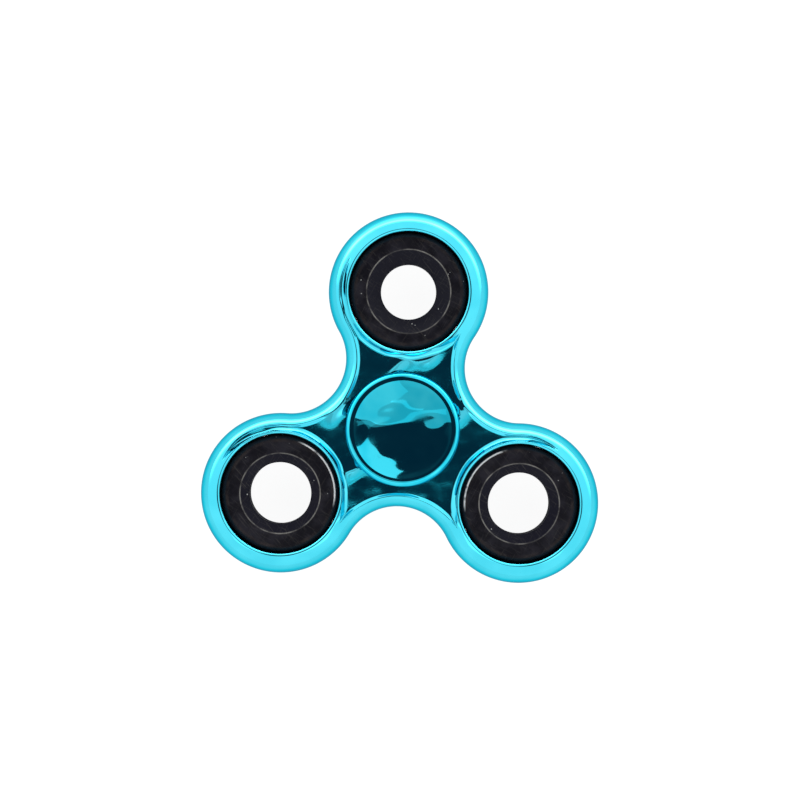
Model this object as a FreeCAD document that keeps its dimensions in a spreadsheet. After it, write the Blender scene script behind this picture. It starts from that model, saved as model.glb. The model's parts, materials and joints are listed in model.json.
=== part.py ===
import FreeCAD, Part
import math
import os
import Sketcher

# Fidget spinner, in millimetres. +Z is the spin axis. The origin is on that axis, in the plane of
# the lower pad's rim, on which the spinner rests. Every piece is modelled about the spinner's
# middle plane and then raised to it by its Placement.

SIZES = (
    ("arm", 25.6, "spin axis to the centre of a lobe"),
    ("lobe_radius", 14.9, "outer radius of a lobe"),
    ("neck", 14.4, "spin axis to the waist between two lobes"),
    ("rim_half", 5.2, "middle plane to the top of the rim"),
    ("rim_round", 5.0, "radius of the rim's rounded edge"),
    ("band_width", 2.2, "width of the raised band around the web"),
    ("band_round", 0.2, "rounded inner edge of that band"),
    ("web_half", 3.9, "middle plane to the recessed web"),
    ("collar_radius", 12.38, "raised collar around a seat"),
    ("collar_shift", 0.43, "collar's centre beyond the seat's centre, along the arm"),
    ("collar_round", 0.6, "rounded outer edge of a collar"),
    ("seat_radius", 11.02, "seats of the weights and the bearing"),
    ("seat_round", 0.3, "rounded mouth of a weight's seat"),
    ("lip_radius", 9.7, "opening of the lip that keeps the bearing in"),
    ("bearing_half", 3.5, "half of the bearing's width"),
    ("bearing_radius", 11.0, "bearing's outer radius"),
    ("bore_radius", 4.0, "bearing's bore radius"),
    ("race_chamfer", 0.3, "chamfer on the bearing's rings"),
    ("inner_land", 6.05, "outside radius of the inner ring"),
    ("outer_land", 8.95, "inside radius of the outer ring"),
    ("pitch_radius", 7.5, "spin axis to a ball's centre"),
    ("ball_radius", 1.9845, "radius of a 5/32 inch ball"),
    ("groove_radius", 2.06, "section radius of the ball grooves"),
    ("running_gap", 0.02, "gap between parts that run on each other"),
    ("recess_radius", 9.75, "outer radius of a shield's groove in the outer ring"),
    ("shield_mouth", 9.45, "radius of the outer ring's mouth outside the shield"),
    ("shield_inner", 6.35, "shield's inner radius"),
    ("shield_sheet", 0.25, "thickness of a shield"),
    ("cage_inner", 6.5, "cage's inner radius"),
    ("cage_outer", 8.5, "cage's outer radius"),
    ("cage_sheet", 0.35, "thickness of the cage's sheet"),
    ("pocket_gap", 0.05, "gap between a ball and its pocket in the cage"),
    ("rivet_radius", 0.4, "radius of a cage rivet"),
    ("rivet_head", 0.65, "radius of a rivet's head"),
    ("weight_half", 3.5, "half of a weight's thickness"),
    ("weight_radius", 11.0, "outer radius of a weight"),
    ("weight_round", 1.2, "rounded outer edge of a weight"),
    ("upper_bore", 5.15, "bore radius of the weight on +Y"),
    ("lower_bore", 5.75, "bore radius of the other two weights"),
    ("upper_sink", 7.8, "countersink radius of the weight on +Y"),
    ("lower_sink", 7.45, "countersink radius of the other two weights"),
    ("lower_sink_depth", 0.7, "countersink depth of the other two weights"),
    ("pad_half", 6.5, "middle plane to a pad's rim"),
    ("pad_radius", 10.55, "outer radius of a pad"),
    ("pad_round", 1.05, "rounded outer edge of a pad"),
    ("pad_under", 4.25, "middle plane to a pad's underside"),
    ("dish_radius", 9.05, "radius of a pad's dish"),
    ("dish_depth", 1.3, "depth of a pad's dish"),
    ("shoulder_radius", 5.3, "pad's shoulder on the inner ring"),
    ("pin_radius", 2.4, "pin of the upper pad"),
    ("pin_length", 3.0, "length of that pin"),
)
BALLS = 7
WEIGHTS = 3
FULL_TURN = 360.0
OVERCUT = 1.0


class Size:
    """A length that carries its value in millimetres and the sheet expression that gives it."""

    def __init__(self, value, text):
        self.value = value
        self.text = text

    @staticmethod
    def plain(other):
        return other if isinstance(other, Size) else Size(float(other), f"({float(other)!r})")

    def joined(self, sign, other, value):
        return Size(value, f"({self.text} {sign} {other.text})")

    def __add__(self, other):
        other = Size.plain(other)
        return self.joined("+", other, self.value + other.value)

    def __sub__(self, other):
        other = Size.plain(other)
        return self.joined("-", other, self.value - other.value)

    def __mul__(self, other):
        other = Size.plain(other)
        return self.joined("*", other, self.value * other.value)

    def __truediv__(self, other):
        other = Size.plain(other)
        return self.joined("/", other, self.value / other.value)

    def __neg__(self):
        return self * -1.0


class Sizes:
    """The driving sizes, each read by its name in the sheet."""

    def __init__(self, document):
        sheet = document.addObject("Spreadsheet::Sheet", "Sizes")
        for row, (alias, value, meaning) in enumerate(SIZES, start=1):
            sheet.set(f"A{row}", alias)
            sheet.set(f"B{row}", str(value))
            sheet.set(f"C{row}", meaning)
            sheet.setAlias(f"B{row}", alias)
            setattr(self, alias, Size(float(value), f"Sizes.{alias}"))
        document.recompute()


doc = FreeCAD.newDocument("fidget_spinner")
size = Sizes(doc)
middle = size.pad_half
zero = Size.plain(0.0)


def bind(item, prop, length):
    """Drive one property of an object from the sheet."""
    item.setExpression(prop, length.text)


def bind_all(item, **lengths):
    for prop, length in lengths.items():
        bind(item, prop, length)


def place(item, x=zero, y=zero, z=middle):
    """Drive an object's position from the sheet."""
    for letter, length in zip("xyz", (x, y, z)):
        bind(item, f"Placement.Base.{letter}", length)


def bearing_of(index, count, start):
    """The unit vector of one of count equal directions, the first at start degrees."""
    angle = math.radians(start + FULL_TURN * index / count)
    return math.cos(angle), math.sin(angle)


def origin_plane(body, role):
    return next(item for item in body.Origin.OriginFeatures if item.Role == role)


def body_sketch(body, name, role):
    sketch = body.newObject("Sketcher::SketchObject", name)
    sketch.AttachmentSupport = [(origin_plane(body, role), "")]
    sketch.MapMode = "FlatFace"
    return sketch


def fix_point(sketch, curve, vertex, x, y):
    """Hold a point of a sketch at two lengths from the origin."""
    for kind, length, axis in (("DistanceX", x, -2), ("DistanceY", y, -1)):
        if abs(length.value) < 1e-9:
            sketch.addConstraint(Sketcher.Constraint("PointOnObject", curve, vertex, axis))
            continue
        label = f"{kind}_{curve}_{vertex}"
        index = sketch.addConstraint(Sketcher.Constraint(kind, curve, vertex, length.value))
        sketch.renameConstraint(index, label)
        sketch.setExpression(f"Constraints.{label}", length.text)


def fix_radius(sketch, curve, radius):
    label = f"Radius_{curve}"
    index = sketch.addConstraint(Sketcher.Constraint("Radius", curve, radius.value))
    sketch.renameConstraint(index, label)
    sketch.setExpression(f"Constraints.{label}", radius.text)


def add_circle(sketch, radius, x=zero, y=zero):
    centre = FreeCAD.Vector(x.value, y.value, 0)
    circle = Part.Circle(centre, FreeCAD.Vector(0, 0, 1), radius.value)
    curve = sketch.addGeometry(circle, False)
    fix_radius(sketch, curve, radius)
    fix_point(sketch, curve, 3, x, y)


def add_profile(sketch, corners):
    """A closed polygon; each corner is a radius and a height."""
    points = [FreeCAD.Vector(r.value, z.value, 0) for r, z in corners]
    for start, end in zip(points, points[1:] + points[:1]):
        sketch.addGeometry(Part.LineSegment(start, end), False)
    for index, (r, z) in enumerate(corners):
        after = (index + 1) % len(corners)
        sketch.addConstraint(Sketcher.Constraint("Coincident", index, 2, after, 1))
        fix_point(sketch, index, 1, r, z)


def turned(name, corners):
    """A body turned about +Z from a closed profile."""
    body = doc.addObject("PartDesign::Body", name)
    sketch = body_sketch(body, f"{name}_profile", "XZ_Plane")
    add_profile(sketch, corners)
    turn = body.newObject("PartDesign::Revolution", f"{name}_turn")
    turn.Profile = sketch
    turn.ReferenceAxis = (sketch, ["V_Axis"])
    turn.Angle = FULL_TURN
    doc.recompute()
    return body


def groove(body, radius, centre):
    """A round-bottomed groove turned into a body."""
    sketch = body_sketch(body, f"{body.Name}_groove_section", "XZ_Plane")
    add_circle(sketch, radius, centre)
    cut = body.newObject("PartDesign::Groove", f"{body.Name}_groove")
    cut.Profile = sketch
    cut.ReferenceAxis = (sketch, ["V_Axis"])
    cut.Angle = FULL_TURN
    doc.recompute()


def edge_names(shape, wanted):
    return [f"Edge{i}" for i, edge in enumerate(shape.Edges, start=1) if wanted(edge)]


def level_edges(shape, height):
    """Edges in the planes at plus and minus one height."""
    return edge_names(
        shape, lambda edge: all(abs(abs(v.Point.z) - height.value) < 1e-4 for v in edge.Vertexes)
    )


def ring_edges(shape, radius, height):
    """Circular edges of one radius in the planes at plus and minus one height."""

    def wanted(edge):
        curve = edge.Curve
        if not isinstance(curve, Part.Circle) or abs(curve.Radius - radius.value) > 1e-4:
            return False
        return all(abs(abs(v.Point.z) - height.value) < 1e-4 for v in edge.Vertexes)

    return edge_names(shape, wanted)


def dress(body, kind, names, prop, length):
    """Round or chamfer the named edges of a body."""
    base = body.Tip
    feature = body.newObject(f"PartDesign::{kind}", f"{base.Name}_{kind.lower()}")
    feature.Base = (base, names)
    bind(feature, prop, length)
    doc.recompute()


def dress_rings(body, kind, prop, length, *rings):
    shape = body.Shape
    names = [name for radius, height in rings for name in ring_edges(shape, radius, height)]
    dress(body, kind, names, prop, length)


def waist_radius():
    """The waist's radius, from the rule that its arc touches both lobes beside it."""
    across = size.neck * size.neck - size.arm * size.neck + size.arm * size.arm
    return (across - size.lobe_radius * size.lobe_radius) / (
        size.arm + size.lobe_radius * 2.0 - size.neck * 2.0
    )


def add_outline(sketch, inset):
    """Three lobes joined by three waists that touch them, all moved in by the inset."""
    lobe = size.lobe_radius - inset
    waist = waist_radius() + inset
    reach = waist_radius() + size.neck
    tangent = math.degrees(
        math.acos((size.arm.value - reach.value / 2.0) / (lobe.value + waist.value))
    )
    up = FreeCAD.Vector(0, 0, 1)
    for index in range(WEIGHTS):
        facing = 90.0 + FULL_TURN * index / WEIGHTS
        for radius, distance, middle_angle, half in (
            (lobe, size.arm, facing, 180.0 - tangent),
            (waist, reach, facing + 60.0, 120.0 - tangent),
        ):
            angle = math.radians(middle_angle)
            centre = FreeCAD.Vector(math.cos(angle), math.sin(angle), 0) * distance.value
            towards = middle_angle if radius is lobe else middle_angle + 180.0
            first, last = math.radians(towards - half), math.radians(towards + half)
            sketch.addGeometry(Part.ArcOfCircle(Part.Circle(centre, up, radius.value), first, last))
    for index in range(WEIGHTS):
        lobe_arc, waist_arc = 2 * index, 2 * index + 1
        next_lobe = (lobe_arc + 2) % (2 * WEIGHTS)
        sketch.addConstraint(Sketcher.Constraint("Tangent", lobe_arc, 2, waist_arc, 2))
        sketch.addConstraint(Sketcher.Constraint("Tangent", waist_arc, 1, next_lobe, 1))
        x, y = bearing_of(index, WEIGHTS, 90.0)
        fix_point(sketch, lobe_arc, 3, size.arm * round(x, 12), size.arm * y)
        fix_radius(sketch, lobe_arc, lobe)
        fix_radius(sketch, waist_arc, waist)


def pad_up(body, sketch, length):
    pad = body.newObject("PartDesign::Pad", f"{sketch.Name}_pad")
    pad.Profile = sketch
    pad.Midplane = True
    bind(pad, "Length", length)
    doc.recompute()


def seat_centres(shift=zero):
    """The centres of the weights' seats, or of circles shifted outwards from them."""
    for index in range(WEIGHTS):
        x, y = bearing_of(index, WEIGHTS, 90.0)
        yield (size.arm + shift) * round(x, 12), (size.arm + shift) * y


def seat_mouths(shape):
    """The edges where the seats' walls meet the rim."""
    walls = [
        face
        for face in shape.Faces
        if isinstance(face.Surface, Part.Cylinder)
        and abs(face.Surface.Radius - size.seat_radius.value) < 1e-4
    ]
    around = [edge for wall in walls for edge in wall.Edges]
    return edge_names(
        shape,
        lambda edge: any(edge.isSame(other) for other in around)
        and edge.BoundBox.ZLength < size.rim_half.value,
    )


def body_blank():
    """The solid moulding with its rounded rim."""
    body = doc.addObject("PartDesign::Body", "body_blank")
    outline = body_sketch(body, "outline", "XY_Plane")
    add_outline(outline, zero)
    pad_up(body, outline, size.rim_half * 2.0)
    dress(body, "Fillet", level_edges(body.Shape, size.rim_half), "Radius", size.rim_round)
    return body


def cylinder(name, radius, height, x=zero, y=zero, bottom=zero):
    solid = doc.addObject("Part::Cylinder", name)
    bind_all(solid, Radius=radius, Height=height)
    place(solid, x, y, bottom)
    return solid


def sphere(name, radius, x, y, z):
    solid = doc.addObject("Part::Sphere", name)
    bind(solid, "Radius", radius)
    place(solid, x, y, z)
    return solid


def joined(name, solids):
    fuse = doc.addObject("Part::MultiFuse", name)
    fuse.Shapes = solids
    return fuse


def shared(name, solids):
    common = doc.addObject("Part::MultiCommon", name)
    common.Shapes = solids
    return common


def cut_from(name, base, tool):
    cut = doc.addObject("Part::Cut", name)
    cut.Base = base
    cut.Tool = tool
    return cut


def mirrored(name, source, height):
    """The same solid reflected in the level plane at one height."""
    mirror = doc.addObject("Part::Mirroring", name)
    mirror.Source = source
    mirror.Normal = (0, 0, 1)
    bind(mirror, "Base.z", height)
    return mirror


def rounded(name, solid, pick, radius):
    """A body that takes a solid over and rounds the edges that pick names."""
    body = doc.addObject("PartDesign::Body", name)
    body.BaseFeature = solid
    doc.recompute()
    dress(body, "Fillet", pick(body.Shape), "Radius", radius)
    return body


def web_recess():
    """The space over the web, inside the band."""
    outline = doc.addObject("Sketcher::SketchObject", "recess_outline")
    add_outline(outline, size.band_width)
    bind(outline, "Placement.Base.z", size.web_half)
    block = doc.addObject("Part::Extrusion", "web_recess")
    block.Base = outline
    block.DirMode = "Normal"
    block.Solid = True
    bind(block, "LengthFwd", size.rim_half - size.web_half + OVERCUT)
    return block


def band_edges(shape):
    """The band's inner edges, where the recess meets the rounded rim."""
    flank = size.rim_round.value - size.band_width.value
    height = size.rim_half - size.rim_round + math.sqrt(size.rim_round.value**2 - flank**2)
    return level_edges(shape, height)


def collars(blank):
    """Raised collars around the three seats, as high as the rim and rounded towards the web."""
    discs = []
    for index, (x, y) in enumerate(seat_centres(size.collar_shift)):
        reach, half = size.collar_radius, size.rim_half
        disc = turned(f"collar_{index + 1}", [(zero, -half), (reach, -half), (reach, half), (zero, half)])
        dress_rings(disc, "Fillet", "Radius", size.collar_round, (reach, half))
        place(disc, x, y, zero)
        discs.append(disc)
    return shared("collars", [blank, joined("collar_discs", discs)])


def spinner_body():
    """The moulding, with the bearing's seat open below and closed by a lip above."""
    blank = body_blank()
    top = web_recess()
    recesses = joined("recesses", [top, mirrored("web_recess_below", top, zero)])
    web = rounded("web_and_band", cut_from("sharp_band", blank, recesses), band_edges, size.band_round)
    bottom, height = -size.rim_half, size.rim_half * 2.0
    cuts = [
        cylinder(f"seat_{index + 1}", size.seat_radius, height, x, y, bottom)
        for index, (x, y) in enumerate(seat_centres())
    ]
    cuts.append(
        cylinder(
            "bearing_seat", size.seat_radius, size.bearing_half + size.rim_half, bottom=bottom
        )
    )
    cuts.append(cylinder("lip_opening", size.lip_radius, height, bottom=bottom))
    moulding = joined("moulding", [web, collars(blank)])
    bored = cut_from("bored_moulding", moulding, joined("body_cuts", cuts))
    body = rounded("spinner_body", bored, seat_mouths, size.seat_round)
    place(body)
    return body


def sink_depth(bore, sink):
    """The countersink depth that gives a weight the same volume as the lower ones."""
    lower = (size.lower_bore, size.lower_sink)
    area = [(s * s + s * b - b * b * 2.0) / 3.0 for b, s in (lower, (bore, sink))]
    bores = (size.lower_bore * size.lower_bore - bore * bore) * size.weight_half
    return (area[0] * size.lower_sink_depth + bores) / area[1]


def counterweight(index):
    """A ring with rounded outer edges and a countersink on each side of its bore."""
    name = f"counterweight_{index + 1}"
    bore, sink, depth = size.lower_bore, size.lower_sink, size.lower_sink_depth
    if index == 0:
        bore, sink = size.upper_bore, size.upper_sink
        depth = sink_depth(bore, sink)
    half, edge = size.weight_half, size.weight_half - depth
    corners = [(bore, -edge), (sink, -half), (size.weight_radius, -half)]
    corners += [(size.weight_radius, half), (sink, half), (bore, edge)]
    body = turned(name, corners)
    dress_rings(body, "Fillet", "Radius", size.weight_round, (size.weight_radius, half))
    x, y = list(seat_centres())[index]
    place(body, x, y)
    return body


def inner_race():
    half = size.bearing_half
    corners = [(size.bore_radius, -half), (size.inner_land, -half)]
    corners += [(size.inner_land, half), (size.bore_radius, half)]
    body = turned("inner_race", corners)
    bottom = size.pitch_radius - size.ball_radius - size.running_gap
    groove(body, size.groove_radius, bottom + size.groove_radius)
    dress_rings(body, "Chamfer", "Size", size.race_chamfer, (size.bore_radius, half))
    place(body)
    return body


def shield_bottom_face():
    """The height of a shield's outer edge above the middle plane."""
    return size.bearing_half - size.shield_sheet * 3.0


def outer_race():
    half, recess = size.bearing_half, size.recess_radius
    low = shield_bottom_face() - size.running_gap
    high = low + size.shield_sheet + size.running_gap * 2.0
    upper = [(size.outer_land, low), (recess, low), (recess, high), (size.shield_mouth, high)]
    upper += [(size.shield_mouth, half), (size.bearing_radius, half)]
    corners = upper + [(r, -z) for r, z in reversed(upper)]
    body = turned("outer_race", corners)
    bottom = size.pitch_radius + size.ball_radius + size.running_gap
    groove(body, size.groove_radius, bottom - size.groove_radius)
    dress_rings(body, "Chamfer", "Size", size.race_chamfer, (size.bearing_radius, half))
    place(body)
    return body


def shield(name, side):
    """A pressed shield: its outer edge sits in the outer ring and its face is raised."""
    sheet = size.shield_sheet
    low = shield_bottom_face()
    face = low + sheet
    rim = size.recess_radius - size.running_gap
    step_out, step_in = size.outer_land - sheet, size.outer_land - sheet * 2.0
    corners = [(size.shield_inner, face), (step_in, face), (step_out, low), (rim, low)]
    corners += [(rim, face), (size.outer_land, face), (step_out, face + sheet)]
    corners += [(size.shield_inner, face + sheet)]
    body = turned(name, [(r, z * side) for r, z in corners])
    place(body)
    return body


def ball(index):
    x, y = bearing_of(index, BALLS, 90.0)
    name, across, along = f"ball_{index + 1}", size.pitch_radius * x, size.pitch_radius * y
    return sphere(name, size.ball_radius, across, along, middle)


def sphere_ring(name, radius):
    """Seven equal spheres on the pitch circle."""
    spheres = []
    for index in range(BALLS):
        x, y = bearing_of(index, BALLS, 90.0)
        across, along = size.pitch_radius * x, size.pitch_radius * y
        spheres.append(sphere(f"{name}_{index + 1}", radius, across, along, zero))
    return joined(name, spheres)


def rivet_shanks(name, radius, height, bottom):
    """Seven upright cylinders halfway between the balls."""
    shanks = []
    for index in range(BALLS):
        x, y = bearing_of(index + 0.5, BALLS, 90.0)
        at = (size.pitch_radius * x, size.pitch_radius * y)
        shanks.append(cylinder(f"{name}_{index + 1}", radius, height, *at, bottom))
    return joined(name, shanks)


def cage_halves():
    """Two pressed rings with a dome over each ball, back to back on the middle plane."""
    shell = size.ball_radius + size.pocket_gap
    domes = sphere_ring("cage_domes", shell + size.cage_sheet)
    sheet = cylinder("cage_flat", size.cage_outer, size.cage_sheet)
    band = cylinder("cage_band", size.cage_outer, size.pitch_radius)
    blank = shared("cage_blank", [joined("cage_sheet", [domes, sheet]), band])
    pockets = sphere_ring("cage_pockets", shell)
    hole = cylinder("cage_hole", size.cage_inner, size.pitch_radius)
    rivet_holes = rivet_shanks("rivet_holes", size.rivet_radius, size.pitch_radius, zero)
    tools = joined("cage_cuts", [pockets, hole, rivet_holes])
    top = cut_from("cage_half_top", blank, tools)
    place(top)
    return top, mirrored("cage_half_bottom", top, middle)


def cage_rivets():
    """Seven rivets through both halves, each with a head on either side."""
    sheet = size.cage_sheet
    shanks = rivet_shanks("shanks", size.rivet_radius, sheet * 2.0, -sheet)
    upper = rivet_shanks("upper_heads", size.rivet_head, sheet, sheet)
    lower = rivet_shanks("lower_heads", size.rivet_head, sheet, -sheet * 2.0)
    rivets = joined("cage_rivets", [shanks, upper, lower])
    place(rivets)
    return rivets


def finger_pad(name, side):
    """A dished disc with a shoulder on the inner ring and a stub in its bore."""
    stub = size.bore_radius - size.running_gap
    corners = [(zero, zero), (stub, zero), (stub, size.bearing_half)]
    corners += [(size.shoulder_radius, size.bearing_half), (size.shoulder_radius, size.pad_under)]
    corners += [(size.pad_radius, size.pad_under), (size.pad_radius, size.pad_half)]
    corners += [(zero, size.pad_half)]
    body = turned(name, [(r, z * side) for r, z in corners])
    rims = (size.pad_radius, size.pad_half)
    dress_rings(body, "Fillet", "Radius", size.pad_round, rims)
    depth, reach = size.dish_depth, size.dish_radius
    ball_size = (reach * reach + depth * depth) / (depth * 2.0)
    dish = body.newObject("PartDesign::SubtractiveSphere", f"{name}_dish")
    bind(dish, "Radius", ball_size)
    bind(dish, "Placement.Base.z", (size.pad_half - depth + ball_size) * side)
    doc.recompute()
    place(body)
    return body


def cap_top():
    """The upper pad, whose pin plugs into the lower pad."""
    body = finger_pad("cap_top", 1.0)
    pin = body_sketch(body, "pin_section", "XY_Plane")
    add_circle(pin, size.pin_radius)
    pad = body.newObject("PartDesign::Pad", "pin")
    pad.Profile = pin
    pad.Reversed = True
    bind(pad, "Length", size.pin_length)
    doc.recompute()
    return body


def cap_bottom():
    """The lower pad, whose stub holds the socket for the pin."""
    body = finger_pad("cap_bottom", -1.0)
    socket = body_sketch(body, "socket_section", "XY_Plane")
    add_circle(socket, size.pin_radius + size.running_gap)
    pocket = body.newObject("PartDesign::Pocket", "socket")
    pocket.Profile = socket
    bind(pocket, "Length", size.pin_length + size.running_gap * 10.0)
    doc.recompute()
    return body


def build():
    """Every sub-part of the spinner."""
    parts = [spinner_body(), inner_race(), outer_race(), cap_top(), cap_bottom()]
    parts += [counterweight(index) for index in range(WEIGHTS)]
    parts += [shield("shield_top", 1.0), shield("shield_bottom", -1.0)]
    parts += [ball(index) for index in range(BALLS)]
    parts += [*cage_halves(), cage_rivets()]
    doc.recompute()
    return parts


def check(parts):
    """Stop before anything is written if an object failed or a shape isn't sound."""
    for item in doc.Objects:
        if {"Invalid", "Error"} & set(item.State):
            raise RuntimeError(f"{item.Name} failed: {item.State}")
    for part in parts:
        if part.Shape.isNull() or not part.Shape.isValid():
            raise RuntimeError(f"{part.Label} has no sound shape")


def write(parts):
    os.makedirs("parts", exist_ok=True)
    for part in parts:
        part.Shape.exportStep(f"parts/{part.Label}.step")


subparts = build()
check(subparts)
write(subparts)
for part in subparts:
    print(f"{part.Label}: {len(part.Shape.Solids)} solids, {part.Shape.Volume:.1f} mm3")
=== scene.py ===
import json
import math
import random

import bpy
import numpy as np
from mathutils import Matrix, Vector
from mathutils.geometry import delaunay_2d_cdt


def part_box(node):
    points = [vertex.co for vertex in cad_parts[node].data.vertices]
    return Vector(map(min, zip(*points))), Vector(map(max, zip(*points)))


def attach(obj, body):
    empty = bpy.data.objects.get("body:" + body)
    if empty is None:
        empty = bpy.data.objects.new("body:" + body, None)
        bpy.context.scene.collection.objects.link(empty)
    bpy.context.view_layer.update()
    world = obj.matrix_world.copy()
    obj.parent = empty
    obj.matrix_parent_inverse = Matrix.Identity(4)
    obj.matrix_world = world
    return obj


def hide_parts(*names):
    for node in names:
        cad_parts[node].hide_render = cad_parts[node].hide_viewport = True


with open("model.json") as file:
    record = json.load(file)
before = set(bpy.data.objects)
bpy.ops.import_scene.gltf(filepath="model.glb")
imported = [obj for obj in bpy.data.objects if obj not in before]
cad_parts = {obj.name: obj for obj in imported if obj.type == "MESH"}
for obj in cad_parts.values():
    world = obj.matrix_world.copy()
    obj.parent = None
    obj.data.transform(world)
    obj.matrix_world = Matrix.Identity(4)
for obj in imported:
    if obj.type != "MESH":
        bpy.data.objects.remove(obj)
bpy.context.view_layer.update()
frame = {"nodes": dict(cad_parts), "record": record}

# A fidget spinner: a cyan plated moulding with a black steel ring in each lobe and two plated
# finger pads over a bearing. Lengths are millimetres, unless a comment says otherwise, and MM
# turns them into the frame's metres. Heights are measured from the spinner's middle plane,
# which lies MIDDLE above the floor.
MM = 0.001


def half_height(node):
    """Half of a CAD node's height, to a hundredth."""
    low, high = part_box(node)
    return round((high.z - low.z) / 2 / MM, 2)


def reach(node, axis):
    """How far a CAD node reaches along an axis, to a hundredth."""
    return round(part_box(node)[1][axis] / MM, 2)


# Sizes that the frame gives.
RING_HOLES = [mount for mount in frame["record"]["mounts"] if mount["kind"] == "bore"]
BORES = [hole["dims"]["r_mm"] for hole in RING_HOLES]
ARM = round(RING_HOLES[0]["pos_m"][1] / MM, 2)
MIDDLE = round(RING_HOLES[0]["pos_m"][2] / MM, 2)
LOBE = round(reach("spinner_body", 1) - ARM, 2)
RIM_HALF = half_height("spinner_body")
BEARING_HALF = half_height("outer_race")
WEIGHT = reach("counterweight_1", 0)
WEIGHT_HALF = half_height("counterweight_1")
PAD = reach("cap_top", 0)
PAD_TOP = round(reach("cap_top", 2) - MIDDLE, 2)

# The moulding, with the same names and sizes as in the CAD model.
NECK = 14.4  # spin axis to the waist between two lobes
RIM_ROUND = 5.0  # radius of the rim's rounded edge
BAND = 2.2  # width of the raised band around the web
WEB = 3.9  # height of the recessed web
COLLAR = 12.38  # radius of the raised collar around a seat
COLLAR_SHIFT = 0.43  # collar's centre beyond the seat's centre, along the arm
SEAT = 11.02  # radius of the seats of the rings and the bearing
LIP = 9.7  # radius of the opening over the bearing

# What the moulding has beyond the CAD model.
SEAT_ROUND = 0.6  # rounded mouth of a ring's seat
COLLAR_TOP = 5.04  # height at which the rim flattens into the collars
TOP_BLEND = 0.12  # softness of that change
INNER_BLEND = 0.4  # softness of the corner where the band meets a collar
WALL_BLEND = 1.2  # width over which the band's wall changes into a collar's
BAND_CREST, COLLAR_CREST = 0.2, 0.6  # widths over which their walls round over at the top
BAND_FOOT, COLLAR_FOOT = 0.6, 0.8  # widths over which they run out into the web
WALL_POWER = 0.6  # 1 is an even wall, and less is one that is steep at the top
WEB_SWELL = 0.9  # height of the sink marks where their waves are full
WEB_WAVER = 0.02  # height of the fine waves on the web
UNDER_PAD = 0.2  # most height of both under the upper pad
PAD_GAP = 0.05  # how far beyond the pad this holds
UNDER_PAD_SLOPE = 0.5  # how fast they may rise from there
UNDER_PAD_BLEND = 0.06
RIM_WAVER = 0.018  # height of the long waves on the rim
RIM_CALM = 2.0  # inset at which they reach their full height

# The groove between rim and collar runs part of the way round each lobe. A range of where it
# closes is two cosines of the angle from the lobe's outward direction, one range for the lobe's
# clockwise side and one for its other side.
OPEN, HALF_OPEN, SHUT = (0.1, 0.95), (-0.5, 0.6), (-0.9, -0.3)
CLOSES = np.array(((SHUT, OPEN), (OPEN, SHUT), (SHUT, HALF_OPEN)))
GROOVES = np.array((0.3, 1.0, 0.6))  # how much of a groove each lobe has
CLOCKWISE_LOBE = 1  # the lobe whose groove is on its clockwise side
GROOVE_STARTS = (-0.6, -0.2)  # cosines between which a groove sets in
GROOVE_CUT = 0.5  # how far a full groove cuts into the collar
GROOVE_FOOT = 0.65  # share of the wall's foot that it takes away
GROOVE_SHUT = 1.3  # how far the wall moves inwards where the groove is closed
SIDE_BLEND = 8.0  # width over which a lobe's sides change into each other

# How finely the moulding is meshed.
ARC_DEPTH = 1.55  # how far rows of quads follow the rim's rounding inwards from the outline
STRIP_DEPTH = 2.96  # and how far they follow the outline in all
STRIP_STEP = 0.05
TURNED = 11.84  # radius at which rows of quads around a seat begin
COLUMN_STEP = 0.2  # length of a column of quads along the outline
COLLAR_STEP = 0.07  # between rings of points on a collar
WALL_STEP = 0.15  # between rings of points on its wall
MOUTH_STEP = 0.06  # between rows of quads beside a seat
SEAT_COLUMNS = 420
HOLE_COLUMNS = 240
SHY = 0.003  # how far the columns stay inside the CAD outline

# The rings.
RING_ROUND = 1.2  # rounded outer edge
CREST = 9.85  # radius at which that edge begins to fall away
GLINT = 10.13  # radius of its painted glint, an arc painted near-white
PAINTED_REFLECTION_RADII = (9.95, 10.35)  # radii between which its outer edge is tinted bluish, a painted reflection of the seat wall
LATHE_COLUMNS = 256  # in the rings and in the pads

# The pads.
DISH = 9.05  # radius of a pad's dish
DISH_DEPTH = 1.3
DISH_BALL = (DISH**2 + DISH_DEPTH**2) / (2 * DISH_DEPTH)  # radius of the sphere it is cut with
DISH_SWELL = 0.1  # height of the long waves in the dish
DISH_WAVER = 0.006  # height of the fine waves in it
PAD_ROUND = 1.05
PAD_UNDER = 4.25
SHOULDER = 5.3  # radius of the pad's shoulder on the bearing's inner ring
STUB = 3.98  # radius of the stub in the bearing's bore
PIN, PIN_LENGTH = 2.4, 3.0
SOCKET, SOCKET_DEPTH = 2.42, 3.2

# The plan: three round lobes, joined by round waists that curve the other way.
WAIST = (NECK**2 - ARM * NECK + ARM**2 - LOBE**2) / (ARM + 2 * LOBE - 2 * NECK)
WAIST_AWAY = WAIST + NECK
TANGENT = math.acos((ARM - WAIST_AWAY / 2) / (LOBE + WAIST))
LOBE_ANGLES = [math.radians(a) for a in (90, 210, 330)]
CENTRES = np.array([(ARM * math.cos(a), ARM * math.sin(a)) for a in LOBE_ANGLES])
WAISTS = np.array(
    [
        (WAIST_AWAY * math.cos(a + math.pi / 3), WAIST_AWAY * math.sin(a + math.pi / 3))
        for a in LOBE_ANGLES
    ]
)


# ---------------------------------------------------------------- shape of the moulding


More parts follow.
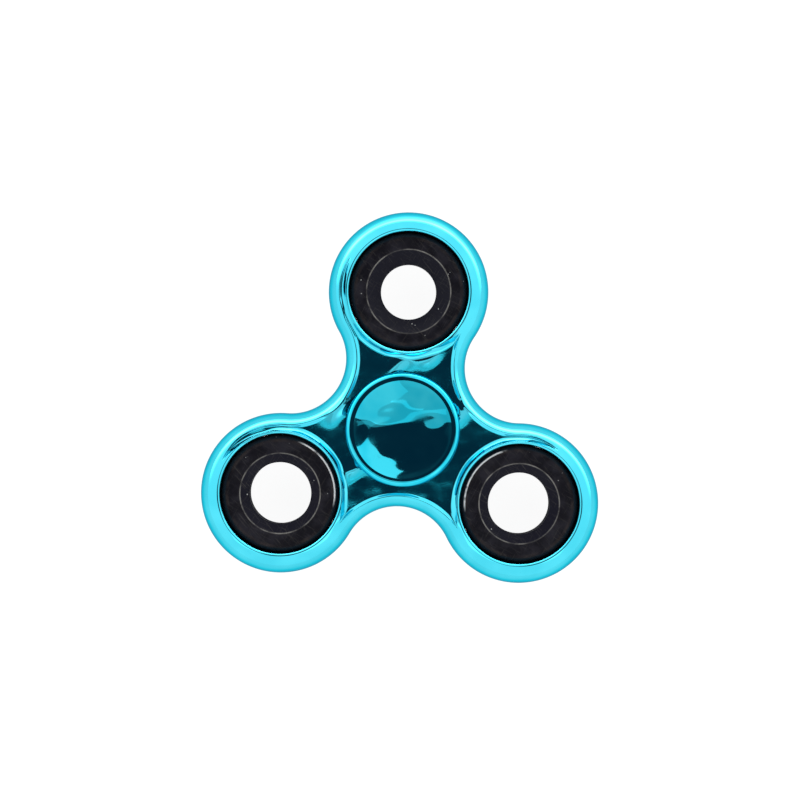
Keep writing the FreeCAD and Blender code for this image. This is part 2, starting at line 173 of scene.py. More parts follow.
def inset(xy):
    """Distance inwards from the outline."""
    depth = np.full(len(xy), np.inf)
    for centre in CENTRES:
        rel = xy - centre
        away = np.linalg.norm(rel, axis=1)
        forward = rel @ centre / ARM
        depth = np.where(forward >= -away * math.cos(TANGENT), LOBE - away, depth)
    for k, waist in enumerate(WAISTS):
        a, b = CENTRES[k] - waist, CENTRES[(k + 1) % 3] - waist
        rel = xy - waist
        left = a[0] * rel[:, 1] - a[1] * rel[:, 0]
        right = rel[:, 0] * b[1] - rel[:, 1] * b[0]
        turn = a[0] * b[1] - a[1] * b[0]
        beside = (left * turn > -1e-6) & (right * turn > -1e-6)
        away = np.linalg.norm(rel, axis=1) - WAIST
        depth = np.where(beside, np.minimum(depth, away), depth)
    return depth


def rim(depth):
    """Height of the rounded rim at an inset."""
    rest = np.clip(RIM_ROUND - depth, 0, RIM_ROUND)
    return RIM_HALF - RIM_ROUND + np.sqrt(RIM_ROUND**2 - rest**2)


def smooth_step(value):
    """0 below 0, 1 above 1, and a smooth rise between."""
    value = np.clip(value, 0, 1)
    return value * value * (3 - 2 * value)


def rise(value, low, high):
    """Smooth rise from 0 at low to 1 at high."""
    return smooth_step((value - low) / (high - low))


def between(share, one, two):
    return one + (two - one) * share


def blend_min(a, b, width):
    """The lower of two values, smoothed where they are within width of each other."""
    mix = np.clip(0.5 + 0.5 * (b - a) / width, 0, 1)
    return b + (a - b) * mix - width * mix * (1 - mix)


def ripple_set(seed, count, shortest, longest):
    """Wave numbers and phases of a few level ripples."""
    draw = random.Random(seed)
    waves = []
    for _ in range(count):
        angle, length = draw.uniform(0, math.tau), draw.uniform(shortest, longest)
        phase = draw.uniform(0, math.tau)
        waves.append((math.cos(angle) / length, math.sin(angle) / length, phase))
    return waves


def ripples(xy, waves):
    """Mean of the waves at each point, from -1 to 1."""
    total = sum(np.sin(math.tau * (kx * xy[:, 0] + ky * xy[:, 1]) + p) for kx, ky, p in waves)
    return total / len(waves)


# The seeds of the web and the dish were picked from many, for reflections like the photo's.
WEB_WAVES = ripple_set(13497, 5, 6.0, 14.0)
RIM_WAVES = ripple_set(5, 5, 9.0, 20.0)
DISH_WAVES = ripple_set(562, 7, 4.5, 11.0)
FINE_WAVES = ripple_set(3, 5, 1.8, 3.5)


def web_relief(xy):
    """Shallow swells left in the web where the plastic sank, kept low under the pad's edge."""
    swell = np.clip(ripples(xy, WEB_WAVES), 0, None)
    relief = WEB_SWELL * swell**2 + WEB_WAVER * ripples(xy, FINE_WAVES)
    past_pad = np.clip(np.linalg.norm(xy, axis=1) - PAD - PAD_GAP, 0, None)
    return blend_min(relief, UNDER_PAD + UNDER_PAD_SLOPE * past_pad, UNDER_PAD_BLEND)


def groove_at(rel, radius, outward, nearest):
    """How much groove there is beside each point, and how far it has closed, from 0 to 1."""
    across = outward[:, 0] * rel[:, 1] - outward[:, 1] * rel[:, 0]
    side = smooth_step(0.5 + across / SIDE_BLEND)
    along = (rel * outward).sum(axis=1) / np.maximum(radius, 1.0)
    closes = np.where(side[:, None] < 0.5, CLOSES[nearest, 0], CLOSES[nearest, 1])
    open_side = np.where(nearest == CLOCKWISE_LOBE, 1 - side, side)
    groove = GROOVES[nearest] * open_side * rise(along, *GROOVE_STARTS)
    return groove, rise(along, closes[:, 0], closes[:, 1])


def height(xy):
    """Height of the moulding's upper side."""
    depth = inset(xy)
    top = blend_min(rim(depth), COLLAR_TOP, TOP_BLEND)
    nearest = np.linalg.norm(xy[:, None, :] - CENTRES[None], axis=2).argmin(axis=1)
    rel = xy - CENTRES[nearest]
    radius = np.linalg.norm(rel, axis=1)
    outward = CENTRES[nearest] / ARM
    groove, closed = groove_at(rel, radius, outward, nearest)
    # The web and the groove are one pocket, which starts where the band and the collar end.
    from_collar = np.linalg.norm(rel - outward * COLLAR_SHIFT, axis=1)
    to_band, to_collar = depth - BAND, from_collar - COLLAR + GROOVE_CUT * groove
    near_collar = smooth_step(0.5 + (to_band - to_collar) / WALL_BLEND)
    pocket = blend_min(to_band, to_collar, INNER_BLEND) - GROOVE_SHUT * closed
    crest = between(near_collar, BAND_CREST, COLLAR_CREST)
    foot = between(near_collar, BAND_FOOT, COLLAR_FOOT) * (1 - GROOVE_FOOT * groove)
    fall = np.clip((pocket + crest) / (crest + foot), 0, 1)
    drop = (top - WEB - web_relief(xy)) * smooth_step(fall**WALL_POWER)
    mouth = np.clip((SEAT + SEAT_ROUND - radius) / SEAT_ROUND, 0, 1)
    lowered = SEAT_ROUND * (1 - np.sqrt(1 - mouth**2))
    waver = RIM_WAVER * ripples(xy, RIM_WAVES) * smooth_step(depth / RIM_CALM)
    return top - drop - lowered + waver


def slopes(xy):
    """Unit normals of the moulding's upper side."""
    step = 0.004
    dx = (height(xy + (step, 0)) - height(xy - (step, 0))) / (2 * step)
    dy = (height(xy + (0, step)) - height(xy - (0, step))) / (2 * step)
    normals = np.stack([-dx, -dy, np.ones(len(xy))], axis=1)
    return normals / np.linalg.norm(normals, axis=1, keepdims=True)


# ---------------------------------------------------------------- meshes


def outline_columns():
    """Points on the outline with their outward directions."""
    points, outward = [], []
    for k, angle in enumerate(LOBE_ANGLES):
        half, gap = math.pi - TANGENT, 2 * math.pi / 3 - TANGENT
        for centre, radius, start, sweep in (
            (CENTRES[k], LOBE, angle - half, 2 * half),
            (WAISTS[k], WAIST, angle + math.pi / 3 + math.pi + gap, -2 * gap),
        ):
            count = int(abs(sweep) * radius / COLUMN_STEP)
            outside = 1 if sweep > 0 else -1
            for turn in start + sweep * np.arange(count) / count:
                direction = np.array((math.cos(turn), math.sin(turn)))
                points.append(centre + (radius - SHY * outside) * direction)
                outward.append(direction * outside)
    return np.array(points), np.array(outward)


def around(count):
    """Unit directions evenly round a circle."""
    turns = math.tau * np.arange(count) / count
    return np.stack([np.cos(turns), np.sin(turns)], axis=1)


def circle(centre, radius, count):
    return np.array(centre) + radius * around(count)


def quarter_round(share):
    """Level and upward parts of the normals on a quarter round, share of the way over."""
    return share, math.sqrt(1 - share**2)


class Soup:
    """Vertices, faces and one normal per vertex, with spare normals for faces with sharp edges."""

    def __init__(self):
        self.points, self.normals, self.faces = [], [], []
        self.sharp, self.creases = {}, set()

    def add(self, points, normals):
        """Add vertices and return their numbers."""
        first = len(self.points)
        self.points.extend(map(tuple, points))
        self.normals.extend(map(tuple, normals))
        return np.arange(first, first + len(points))

    def bridge(self, one, two, normals=None):
        """Quads between two closed rows of the same length, with sharp edges if given normals."""
        for k in range(len(one)):
            after = (k + 1) % len(one)
            if normals is not None:
                corners = [normals[k], normals[after], normals[after], normals[k]]
                self.sharp[len(self.faces)] = corners
                for row in (one, two):
                    self.creases.add(tuple(sorted((int(row[k]), int(row[after])))))
            self.faces.append((one[k], one[after], two[after], two[k]))

    def swell(self, relief):
        """Raise every vertex by a function of its place and lean its normal to match."""
        points, normals = np.array(self.points), np.array(self.normals)
        xy, step = points[:, :2], 0.01
        upward = np.sign(normals[:, 2])
        for axis, offset in enumerate(((step, 0), (0, step))):
            change = relief(xy + offset, points[:, 2]) - relief(xy - offset, points[:, 2])
            normals[:, axis] -= change / (2 * step) * upward
        points[:, 2] += relief(xy, points[:, 2])
        normals /= np.linalg.norm(normals, axis=1, keepdims=True)
        self.points, self.normals = list(map(tuple, points)), list(map(tuple, normals))

    def mesh(self, name):
        mesh = bpy.data.meshes.new(name)
        points = (np.array(self.points) + (0, 0, MIDDLE)) * MM
        mesh.from_pydata(points.tolist(), [], [tuple(map(int, face)) for face in self.faces])
        mesh.update()
        mesh.polygons.foreach_set("use_smooth", [True] * len(mesh.polygons))
        for edge in mesh.edges if self.creases else ():
            edge.use_edge_sharp = tuple(sorted(edge.vertices)) in self.creases
        loops = np.empty(len(mesh.loops), dtype=np.int64)
        mesh.loops.foreach_get("vertex_index", loops)
        normals = np.array(self.normals)[loops]
        for face, corner_normals in self.sharp.items():
            start = mesh.polygons[face].loop_start
            normals[start : start + len(corner_normals)] = corner_normals
        mesh.normals_split_custom_set(normals.tolist())
        return mesh


def link(name, data):
    """Make an object and put it in the scene."""
    obj = bpy.data.objects.new(name, data)
    bpy.context.scene.collection.objects.link(obj)
    return obj


def piece(name, mesh, node, body, finish):
    """Make a piece that stands for a CAD node and rides with its body."""
    obj = link(name, mesh)
    mesh.materials.append(finish)
    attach(obj, body)
    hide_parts(node)


# ---------------------------------------------------------------- the moulding


def inner_points(hole):
    """The loops that bound the web and the collars, and points scattered between them."""
    loops = [circle(centre, TURNED, SEAT_COLUMNS) for centre in CENTRES]
    loops.append(circle((0, 0), hole, HOLE_COLUMNS))
    wall, wall_foot = COLLAR + 0.4, COLLAR + 1.1
    rings = list(np.arange(TURNED + COLLAR_STEP, wall, COLLAR_STEP))
    rings += list(np.arange(wall + 0.05, wall_foot, WALL_STEP))
    scattered = [circle(centre, radius, SEAT_COLUMNS) for centre in CENTRES for radius in rings]
    step_x, step_y, half = 0.4, 0.35, 22
    grid = np.array(
        [
            (x + step_x / 2 * (row % 2), y)
            for row, y in enumerate(np.arange(-half, half, step_y))
            for x in np.arange(-half, half, step_x)
        ]
    )
    from_seats = np.linalg.norm(grid[:, None, :] - CENTRES[None], axis=2).min(axis=1)
    grid = grid[(from_seats > wall_foot) & (np.linalg.norm(grid, axis=1) > hole + 0.3)]
    scattered = np.concatenate([*scattered, grid])
    clear = np.linalg.norm(scattered, axis=1) > hole + 0.15
    return loops, scattered[clear & (inset(scattered) > STRIP_DEPTH + 0.04)]


def strip(soup, side, equator, columns, outward):
    """Rows of quads that follow the outline inwards over the rim; returns the last row."""
    turn = slice(None, None, side)
    tilts = np.radians(np.arange(87.5, 43.9, -2.5))
    depths = list(RIM_ROUND * (1 - np.sin(tilts)))
    depths += list(np.arange(ARC_DEPTH + STRIP_STEP, STRIP_DEPTH + 0.01, STRIP_STEP))
    before = soup.add(
        np.c_[columns, np.full(len(columns), side * (RIM_HALF - RIM_ROUND))],
        np.c_[outward, np.zeros(len(columns))],
    )
    soup.bridge(*(equator, before)[turn])
    for depth in depths:
        xy = columns - outward * depth
        if depth < ARC_DEPTH:
            level, up = quarter_round((RIM_ROUND - depth) / RIM_ROUND)
            normals = np.c_[outward * level, np.full(len(xy), up)]
        else:
            normals = slopes(xy)
        row = soup.add(np.c_[xy, side * height(xy)], normals * (1, 1, side))
        soup.bridge(*(before, row)[turn])
        before = row
    return before


def fill(soup, side, strip_row, hole):
    """Triangles between the strip, the seats and the middle hole; returns the holes' rims."""
    loops, scattered = inner_points(hole)
    strip_edge = np.array([soup.points[k][:2] for k in strip_row])
    edges, start = [], 0
    for count in [len(strip_edge)] + [len(loop) for loop in loops]:
        edges += [(start + k, start + (k + 1) % count) for k in range(count)]
        start += count
    given = [Vector(p) for p in np.concatenate([strip_edge, *loops, scattered])]
    made, _, faces, origin, _, _ = delaunay_2d_cdt(given, edges, [], 0, 1e-5)
    made = np.array([tuple(p) for p in made])
    index = np.full(len(made), -1)
    for k, sources in enumerate(origin):
        if sources and sources[0] < len(strip_edge):
            index[k] = strip_row[sources[0]]
    fresh = np.flatnonzero(index < 0)
    index[fresh] = soup.add(
        np.c_[made[fresh], side * height(made)[fresh]], slopes(made)[fresh] * (1, 1, side)
    )
    middles = np.array([made[list(face)].mean(axis=0) for face in faces])
    kept = inset(middles) > STRIP_DEPTH - 0.02
    kept &= np.linalg.norm(middles, axis=1) > hole
    kept &= np.linalg.norm(middles[:, None, :] - CENTRES[None], axis=2).min(axis=1) > TURNED
    for face, keep in zip(faces, kept):
        if keep:
            a, b, c = (made[k] for k in face)
            turn = (b[0] - a[0]) * (c[1] - a[1]) - (b[1] - a[1]) * (c[0] - a[0])
            order = face if turn * side > 0 else face[::-1]
            soup.faces.append(tuple(index[k] for k in order))
    where = {source: index[k] for k, sources in enumerate(origin) for source in sources}
    rims, start = [], len(strip_edge)
    for loop in loops:
        rims.append(np.array([where[start + k] for k in range(len(loop))]))
        start += len(loop)
    return rims


def seat_mouth(soup, side, centre, outer):
    """Rows of quads over a seat's rounded mouth; returns the innermost."""
    turn = slice(None, None, side)
    wide = SEAT + SEAT_ROUND
    radii = list(np.arange(TURNED - MOUTH_STEP, wide, -MOUTH_STEP))
    radii += [wide - SEAT_ROUND * math.cos(math.radians(a)) for a in range(90, -1, -10)]
    for radius in radii:
        xy = circle(centre, radius, SEAT_COLUMNS)
        share = np.clip((wide - radius) / SEAT_ROUND, 0, 1)
        if share > 0:
            level, up = quarter_round(share)
            normals = np.c_[(np.array(centre) - xy) / radius * level, np.full(len(xy), up)]
        else:
            normals = slopes(xy)
        row = soup.add(np.c_[xy, side * height(xy)], normals * (1, 1, side))
        soup.bridge(*(outer, row)[turn])
        outer = row
    return outer


def half_body(soup, side, equator, columns, outward, hole):
    """One face of the moulding; returns the rims of its seats and of its middle hole."""
    strip_row = strip(soup, side, equator, columns, outward)
    *seats, middle = fill(soup, side, strip_row, hole)
    return [seat_mouth(soup, side, *pair) for pair in zip(CENTRES, seats)] + [middle]


def body_mesh():
    soup = Soup()
    columns, outward = outline_columns()
    level = np.zeros(len(columns))
    equator = soup.add(np.c_[columns, level], np.c_[outward, level])
    above = half_body(soup, 1, equator, columns, outward, LIP)
    below = half_body(soup, -1, equator, columns, outward, SEAT)
    for top, bottom in zip(above[:3], below[:3]):
        soup.bridge(bottom, top)
    # The lip over the bearing, and the bearing's seat below it, which have sharp edges.
    inward = np.c_[-around(HOLE_COLUMNS), np.zeros(HOLE_COLUMNS)]
    down = np.tile((0.0, 0.0, -1.0), (HOLE_COLUMNS, 1))
    lip_foot, seat_top = (
        soup.add(
            np.c_[circle((0, 0), radius, HOLE_COLUMNS), np.full(HOLE_COLUMNS, BEARING_HALF)],
            inward,
        )
        for radius in (LIP, SEAT)
    )
    soup.bridge(lip_foot, above[3], normals=inward)
    soup.bridge(seat_top, lip_foot, normals=down)
    soup.bridge(below[3], seat_top, normals=inward)
    return soup.mesh("spinner_body_shape")


# ---------------------------------------------------------------- turned pieces


def rounded_profile(corners, closed):
    """Points and outward normals along a profile of (radius, height, rounding) corners.

    The profile runs so that its outside is on its right.
    """
    points, normals = [], []
    count = len(corners)
    for k, (r, z, rounding) in enumerate(corners):
        here = Vector((r, z))
        if not closed and k in (0, count - 1):
            other = Vector(corners[1][:2] if k == 0 else corners[-2][:2])
            along = (other - here if k == 0 else here - other).normalized()
            points.append(here)
            normals.append(Vector((along.y, -along.x)))
            continue
        back = (Vector(corners[k - 1][:2]) - here).normalized()
        ahead = (Vector(corners[(k + 1) % count][:2]) - here).normalized()
        first, last = Vector((-back.y, back.x)), Vector((ahead.y, -ahead.x))
        if rounding == 0:
            points.append(here)
            normals.append((first + last).normalized())
            continue
        outwards = 1 if back.x * ahead.y - back.y * ahead.x < 0 else -1
        from_corner = rounding / math.sin(back.angle(ahead) / 2)
        centre = here + (back + ahead).normalized() * from_corner
        sweep = first.angle(last)
        steps = max(3, int(sweep / math.radians(7)))
        for step in range(steps + 1):
            normal = first.slerp(last, step / steps)
            points.append(centre + normal * rounding * outwards)
            normals.append(normal)
    return points, normals


def lathe(name, corners, centre, closed, relief=None):
    """A piece turned about an upright axis through centre."""
    soup = Soup()
    circled = around(LATHE_COLUMNS)
    rows = []
    for point, normal in zip(*rounded_profile(corners, closed)):
        if point.x < 1e-6:
            row = soup.add([(*centre, point.y)], [(0, 0, math.copysign(1, normal.y))])
            rows.append(np.repeat(row, LATHE_COLUMNS))
            continue
        places = np.c_[circled * point.x + np.array(centre), np.full(LATHE_COLUMNS, point.y)]
        rows.append(soup.add(places, np.c_[circled * normal.x, np.full(LATHE_COLUMNS, normal.y)]))
    pairs = list(zip(rows, rows[1:]))
    if closed:
        pairs.append((rows[-1], rows[0]))
    for one, two in pairs:
        for k in range(LATHE_COLUMNS):
            after = (k + 1) % LATHE_COLUMNS
            face = dict.fromkeys((one[k], one[after], two[after], two[k]))
            soup.faces.append(tuple(face))
    if relief:
        soup.swell(relief)
    return soup.mesh(f"{name}_shape")


def weight_corners(bore, sink, depth):
    """Section of a ring, from its outer edge round by the top, with a countersink on each face."""
    upper = [
        (WEIGHT, WEIGHT_HALF, RING_ROUND),
        (sink, WEIGHT_HALF, 0.12),
        (bore, WEIGHT_HALF - depth, 0.1),
    ]
    return upper + [(r, -z, rounding) for r, z, rounding in reversed(upper)]


def pad_corners(side, below_stub):
    """Section of a pad, from the middle of its dish to the end of what its stub holds."""
    rows = [
        (r, PAD_TOP - DISH_DEPTH + DISH_BALL - math.sqrt(DISH_BALL**2 - r**2), 0)
        for r in np.arange(0, DISH - 0.3, 0.12)
    ]
    rows += [
        (DISH, PAD_TOP, 0.25),
        (PAD, PAD_TOP, PAD_ROUND),
        (PAD, PAD_UNDER, 0.15),
        (SHOULDER, PAD_UNDER, 0.1),
        (SHOULDER, BEARING_HALF, 0.05),
        (STUB, BEARING_HALF, 0.05),
        (STUB, 0.0, 0.05),
    ]
    profile = [(r, side * z, rounding) for r, z, rounding in rows + below_stub]
    return profile[::-1] if side > 0 else profile


def dish_relief(xy, z):
    """Swells in a pad's dish, dying out at its edge."""
    radius = np.linalg.norm(xy, axis=1)
    in_dish = np.abs(z) > PAD_TOP - DISH_DEPTH - 0.2
    fade = smooth_step((DISH - 0.3 - radius) / 2.5) * in_dish
    return (DISH_SWELL * ripples(xy, DISH_WAVES) + DISH_WAVER * ripples(xy, FINE_WAVES)) * fade


# ---------------------------------------------------------------- materials
# Noise scales are per metre. Colours are linear.


class Tree:
    """Short hands for building a node tree."""

    def __init__(self, tree):
        self.tree = tree
        self.coord = self.node("TexCoord").outputs
        self.place = self.coord["Object"]

    def node(self, kind, inputs=(), **settings):
        node = self.tree.nodes.new(f"ShaderNode{kind}")
        for name, value in settings.items():
            setattr(node, name, value)
        for key, value in dict(inputs).items():
            self.feed(node.inputs[key], value)
        return node

    def feed(self, socket, value):
        if isinstance(value, bpy.types.NodeSocket):
            self.tree.links.new(value, socket)
        else:
            socket.default_value = value

    def math(self, operation, *values):
        return self.node("Math", enumerate(values), operation=operation).outputs[0]

    def product(self, first, *others):
        for other in others:
            first = self.math("MULTIPLY", first, other)
        return first

    def span(self, value, low, high, to_low=0.0, to_high=1.0):
        """Remap a value smoothly from one range to another."""
        inputs = {"Value": value, "From Min": low, "From Max": high}
        inputs.update({"To Min": to_low, "To Max": to_high})
        return self.node("MapRange", inputs, interpolation_type="SMOOTHSTEP").outputs[0]

    def noise(self, scale, detail=2.0, place=None, distortion=0.0):
        inputs = {"Vector": place or self.place, "Scale": scale, "Detail": detail}
        inputs["Distortion"] = distortion
        return self.node("TexNoise", inputs).outputs["Fac"]

    def patches(self, scale, detail, low, high, to_low=0.0, to_high=1.0):
        """Noise, remapped."""
        return self.span(self.noise(scale, detail), low, high, to_low, to_high)

    def mix(self, factor, one, two):
        node = self.node("Mix", data_type="RGBA")
        for key, value in ((0, factor), (6, one), (7, two)):
            self.feed(node.inputs[key], (*value, 1) if isinstance(value, tuple) else value)
        return node.outputs[2]

    def part(self, vector, axis):
        return self.node("SeparateXYZ", {0: vector}).outputs[axis]

    def vector(self, operation, one, two=(0, 0, 0), output="Vector"):
        return self.node("VectorMath", {0: one, 1: two}, operation=operation).outputs[output]

    def from_axis(self, centre):
        """The place, seen level from an upright axis."""
        at = (centre[0] * MM, centre[1] * MM, 0)
        return self.vector("MULTIPLY", self.vector("SUBTRACT", self.place, at), (1, 1, 0))

    def length(self, vector):
        return self.vector("LENGTH", vector, output="Value")

    def near(self, value, middle, core, fade):
        """1 within core of a middle value, falling to 0 at fade, all three in millimetres."""
        off = self.math("ABSOLUTE", self.math("SUBTRACT", value, middle * MM))
        return self.span(off, core * MM, fade * MM, 1.0, 0.0)

    def streaks(self, scale, turn, stretch):
        """Wavy noise, turned about Z and stretched along one axis."""
        inputs = {"Vector": self.place, "Rotation": (0, 0, turn), "Scale": (1, 1 / stretch, 1)}
        along = self.node("Mapping", inputs, vector_type="TEXTURE").outputs[0]
        return self.noise(scale, 1.0, along, 0.4)


class Finish(Tree):
    """A material around one Principled shader."""

    def __init__(self, name):
        self.mat = bpy.data.materials.new(name)
        self.mat.use_nodes = True
        super().__init__(self.mat.node_tree)
        self.shader = self.tree.nodes["Principled BSDF"]

    def set(self, **values):
        """Feed the shader's sockets, named with _ for a space."""
        for name, value in values.items():
            self.feed(self.shader.inputs[name.replace("_", " ")], value)

    def bump(self, height, distance):
        self.set(Normal=self.node("Bump", {"Height": height, "Distance": distance}).outputs[0])


def plated(name, grained, dark, light):
    """Mirror-bright cyan plating under a thin lacquer, over a finely grained web if asked."""
    n = Finish(name)
    n.set(Metallic=1.0, Coat_Weight=0.08, Coat_Roughness=0.03, Coat_IOR=1.45)
    n.set(Specular_Tint=(0.10, 0.38, 0.47, 1))
    color = n.mix(n.patches(160.0, 2.0, 0.35, 0.65), dark, light)
    rough = n.patches(260.0, 4.0, 0.4, 0.75, 0.035, 0.085)
    relief = n.product(n.noise(1100.0, 3.0), 0.0012 * MM)
    if grained:
        web_color = (0.022, 0.57, 0.73)
        from_middle = n.math("SUBTRACT", n.part(n.place, "Z"), MIDDLE * MM)
        from_middle = n.math("ABSOLUTE", from_middle)
        low = n.span(from_middle, (WEB + 0.1) * MM, (WEB + 0.3) * MM, 1.0, 0.0)
        upright = n.math("ABSOLUTE", n.part(n.node("NewGeometry").outputs["Normal"], "Z"))
        web = n.product(low, n.span(upright, 0.93, 0.98))
        patchy = n.product(web, n.patches(230.0, 3.0, 0.3, 0.62, 0.5, 1.0))
        grain = n.product(n.noise(5200.0, 1.0), 0.0085 * MM)
        relief = n.math("ADD", relief, n.product(grain, patchy))
        rough = n.math("ADD", rough, n.product(patchy, 0.08))
        color = n.mix(web, color, web_color)
    n.set(Base_Color=color, Roughness=rough)
    n.bump(relief, 1.0)
    return n.mat


def black_steel(name, centre, bore, sink, glint):
    """Black oxide on a turned ring: bare at the countersink's edge, dusty and finely scratched,
    with painted highlights on its edges and a painted reflection on its outer edge.

    An arc of the outer edge is painted near-white as a painted glint, in the level direction glint,
    if that isn't zero.
    """
    n = Finish(name)
    n.set(Metallic=0.0, Specular_IOR_Level=0.08)
    flat = n.from_axis(centre)
    radius = n.length(flat)

    # The mottled face and the countersink inside it.
    face = n.mix(
        n.patches(330.0, 5.0, 0.38, 0.68), (0.0075, 0.0070, 0.0100), (0.0185, 0.0175, 0.0235)
    )
    outside_sink = n.span(radius, (sink - 0.1) * MM, (sink + 0.05) * MM)
    color = n.mix(outside_sink, (0.0060, 0.0060, 0.0125), face)
    # Outside the face, a bluish tint on the outer edge: a painted reflection of the plated seat
    # wall.
    painted_reflection = n.span(radius, *(r * MM for r in PAINTED_REFLECTION_RADII))
    color = n.mix(painted_reflection, color, (0.012, 0.024, 0.036))

    # Bare metal worn on the countersink's edge, painted light enough to be also a painted highlight
    # along that edge.
    wear_and_highlight = n.product(
        n.near(radius, sink, 0.06, 0.16), n.patches(420.0, 4.0, 0.35, 0.65, 0.15, 1.0)
    )
    color = n.mix(wear_and_highlight, color, (0.17, 0.165, 0.155))

    # Scratches three ways.
    marks = 0.0
    for turn, stretch in ((1.1, 40), (-0.45, 34), (2.3, 30)):
        scratch = n.span(n.streaks(230.0, turn, stretch), 0.68, 0.71, 0.0, 0.5)
        marks = n.math("MAXIMUM", marks, scratch)
    color = n.mix(marks, color, (0.05, 0.048, 0.046))

    # Specks of dust.
    cells = n.node("TexVoronoi", {"Vector": n.place, "Scale": 1500.0}).outputs["Distance"]
    dust = n.product(n.span(cells, 0.1, 0.22, 1.0, 0.0), n.patches(700.0, 1.0, 0.66, 0.7))
    color = n.mix(dust, color, (0.42, 0.43, 0.42))

    # A painted highlight along the crest of the outer edge.
    crest_highlight = n.product(n.near(radius, CREST, 0.1, 0.45), n.patches(380.0, 4.0, 0.35, 0.7), 0.5)
    color = n.mix(crest_highlight, color, (0.045, 0.036, 0.034))
    # A painted glint: an arc of the edge painted near-white, towards the level direction glint.
    toward = n.math("DIVIDE", n.vector("DOT_PRODUCT", flat, glint, "Value"), radius)
    painted_glint = n.product(
        n.span(toward, 0.72, 0.86),
        n.near(radius, GLINT, 0.09, 0.2),
        n.patches(520.0, 3.0, 0.25, 0.45),
    )
    color = n.mix(painted_glint, color, (0.85, 0.87, 0.88))

    dull = n.patches(210.0, 5.0, 0.35, 0.7, 0.24, 0.4)
    bore_wall = n.span(radius, (bore + 0.03) * MM, (bore + 0.15) * MM, 0.6, 0.0)
    n.set(Base_Color=color, Roughness=n.math("ADD", dull, bore_wall))
    tool_marks = n.math("SINE", n.product(radius, 26000.0))
    n.bump(n.math("ADD", tool_marks, n.product(n.noise(900.0, 4.0), 3.0)), 0.0009 * MM)
    return n.mat


def bare_steel(name, color, rough):
    """Ground steel with fine rings around the spin axis."""
    n = Finish(name)
    darker = tuple(0.72 * c for c in color)
    n.set(
        Metallic=1.0,
        Base_Color=n.mix(n.patches(600.0, 4.0, 0.3, 0.7), darker, color),
        Roughness=n.patches(350.0, 3.0, 0.3, 0.7, rough, rough + 0.14),
    )
    rings = n.math("SINE", n.product(n.length(n.from_axis((0, 0))), 31000.0))
    n.bump(rings, 0.0008 * MM)
    return n.mat


# ---------------------------------------------------------------- studio
# Lengths here are metres.

FLOOR_HALF = 0.8
FLOOR_GAP = 0.0001  # keeps the floor clear of the lower pad's rim
PANEL_AIM = (0, 0, 0)
PANELS = (  # name, centre, width, height, radiance
    ("key", (0, -0.36, 0.75), 1.1, 0.55, 0.68),
    ("key_lift", (0.26, -0.3, 0.72), 0.5, 0.36, 0.24),
    ("side", (0.25, 0.33, 0.75), 0.46, 0.3, 1.2),
    ("streak", (-0.03, -0.2, 0.7), 0.25, 0.03, 0.4),
    ("key_edge", (0.02, -0.115, 0.74), 0.8, 0.05, 0.3),
)
CAMERA_OFFSET = (-0.723, 5.44)  # millimetres from the spin axis
CAMERA_AWAY = 450  # millimetres above the spinner's middle plane
CAMERA_TURN = 2.5  # degrees about its own axis
CAMERA_ANGLE = 18.84  # degrees across the picture


def studio_world():
    """A pale room: brighter towards +Y, with a wide soft glow low on that side, dark overhead."""
    world = bpy.data.worlds.new("studio")
    bpy.context.scene.world = world
    world.use_nodes = True
    n = Tree(world.node_tree)
    ahead, up = n.part(n.coord["Generated"], "Y"), n.part(n.coord["Generated"], "Z")
    wall = n.span(ahead, -0.9, 0.7, 1.22, 1.38)
    glow = n.product(n.span(ahead, 0.0, 0.8, 0.0, 6.0), n.span(up, 0.0, 0.26, 1.0, 0.0))
    level = n.math("ADD", wall, glow)
    lit = n.node("CombineColor", {"Red": level, "Green": level, "Blue": level}).outputs[0]
    sky = n.mix(n.span(up, 0.7, 0.88), lit, (0.02, 0.032, 0.048))
    n.feed(n.tree.nodes["Background"].inputs["Color"], sky)


def panel(name, centre, width, height, radiance):
    """A soft light that the camera doesn't see, though the plating does."""
    light = bpy.data.lights.new(name, "AREA")
    light.shape = "RECTANGLE"
    light.size, light.size_y = width, height
    light.energy = radiance * math.pi * width * height
    obj = link(name, light)
    obj.location = centre
    obj.rotation_euler = (Vector(PANEL_AIM) - Vector(centre)).to_track_quat("-Z", "Y").to_euler()
    obj.visible_camera = False


def floor():
    """A white floor that glows, more so towards +Y, so that it is as even as in the photo."""
    corners = [(x, y, -FLOOR_GAP) for x, y in ((-1, -1), (1, -1), (1, 1), (-1, 1))]
    mesh = bpy.data.meshes.new("floor")
    mesh.from_pydata([(x * FLOOR_HALF, y * FLOOR_HALF, z) for x, y, z in corners], [], [range(4)])
    n = Finish("floor")
    n.set(Base_Color=(0.2, 0.2, 0.2, 1), Roughness=0.9, Specular_IOR_Level=0.0)
    glow = n.span(n.part(n.place, "Y"), 0.05, 0.12, 0.92, 3.4)
    n.set(Emission_Color=(1, 1, 1, 1), Emission_Strength=glow)
    mesh.materials.append(n.mat)
    link("floor", mesh)


def camera():
    cam = bpy.data.cameras.new("camera")
    cam.angle = math.radians(CAMERA_ANGLE)
    obj = link("camera", cam)
    obj.location = [value * MM for value in (*CAMERA_OFFSET, CAMERA_AWAY + MIDDLE)]
    obj.rotation_euler = (0, 0, math.radians(CAMERA_TURN))
    bpy.context.scene.camera = obj


# ---------------------------------------------------------------- build


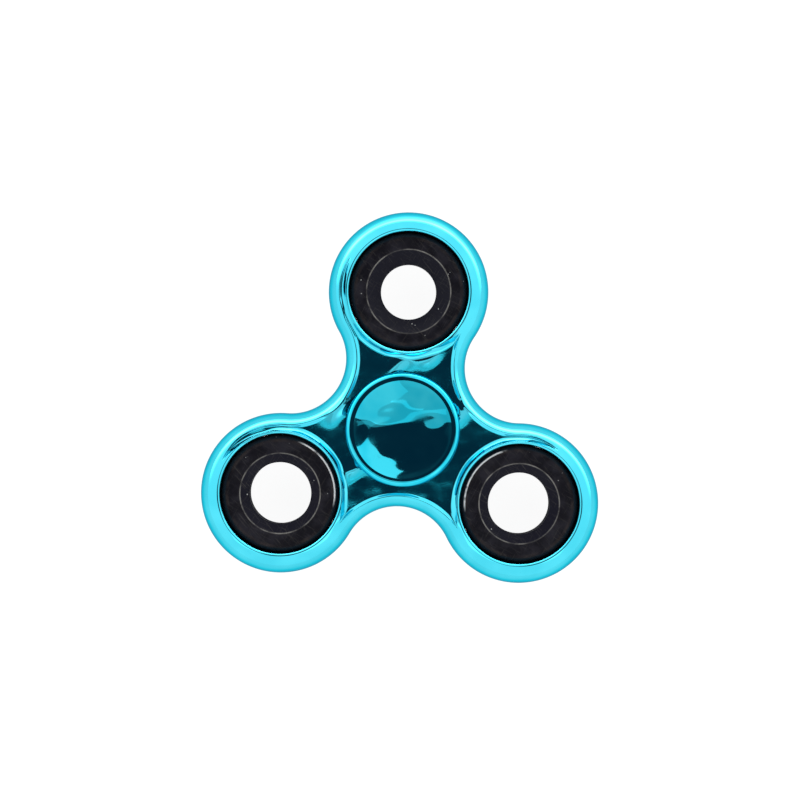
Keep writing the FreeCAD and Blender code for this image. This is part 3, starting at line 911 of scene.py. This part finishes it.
def finish_bearing():
    """Steel for the CAD nodes that stay."""
    ground = bare_steel("bearing_steel", (0.62, 0.62, 0.64), 0.14)
    pressed = bare_steel("sheet_steel", (0.5, 0.5, 0.52), 0.24)
    for node, obj in frame["nodes"].items():
        if node.startswith(("inner_race", "outer_race", "ball")):
            finish = ground
        elif node.startswith(("shield", "cage")):
            finish = pressed
        else:
            continue
        obj.data.materials.clear()
        obj.data.materials.append(finish)


def build_body(finish):
    piece("moulding", body_mesh(), "spinner_body", "spinner", finish)


def build_rings():
    """The ring on +Y has a wider and deeper countersink than the other two."""
    sinks = ((7.8, 1.902), (7.45, 0.7), (7.45, 0.7))  # radius and depth
    # Level directions of each ring's painted glint; the ring on +Y has none.
    glints = ((0.0, 0.0, 0.0), (0.86, 0.51, 0.0), (-0.85, 0.53, 0.0))
    for k, (centre, bore, (sink, depth), glint) in enumerate(zip(CENTRES, BORES, sinks, glints), 1):
        mesh = lathe(f"ring_{k}", weight_corners(bore, sink, depth), centre, True)
        finish = black_steel(f"black_steel_{k}", centre, bore, sink, glint)
        piece(f"ring_{k}", mesh, f"counterweight_{k}", "spinner", finish)


def build_pads(finish):
    """The upper pad's stub carries a pin, and the lower pad's stub a socket for it."""
    pin = [(PIN, 0.0, 0.05), (PIN, -PIN_LENGTH, 0.2), (0.0, -PIN_LENGTH, 0)]
    socket = [(SOCKET, 0.0, 0.05), (SOCKET, SOCKET_DEPTH, 0.1), (0.0, SOCKET_DEPTH, 0)]
    for name, side, below_stub, node in (
        ("upper_pad", 1, pin, "cap_top"),
        ("lower_pad", -1, socket, "cap_bottom"),
    ):
        mesh = lathe(name, pad_corners(side, below_stub), (0, 0), False, relief=dish_relief)
        piece(name, mesh, node, "hub", finish)


body_finish = plated("plated_body", True, (0.059, 0.59, 0.74), (0.076, 0.645, 0.795))
pad_finish = plated("plated_pads", False, (0.012, 0.51, 0.68), (0.040, 0.60, 0.75))
finish_bearing()
build_body(body_finish)
build_rings()
build_pads(pad_finish)

studio_world()
floor()
for panel_facts in PANELS:
    panel(*panel_facts)
camera()
bpy.context.scene.view_settings.view_transform = "Standard"
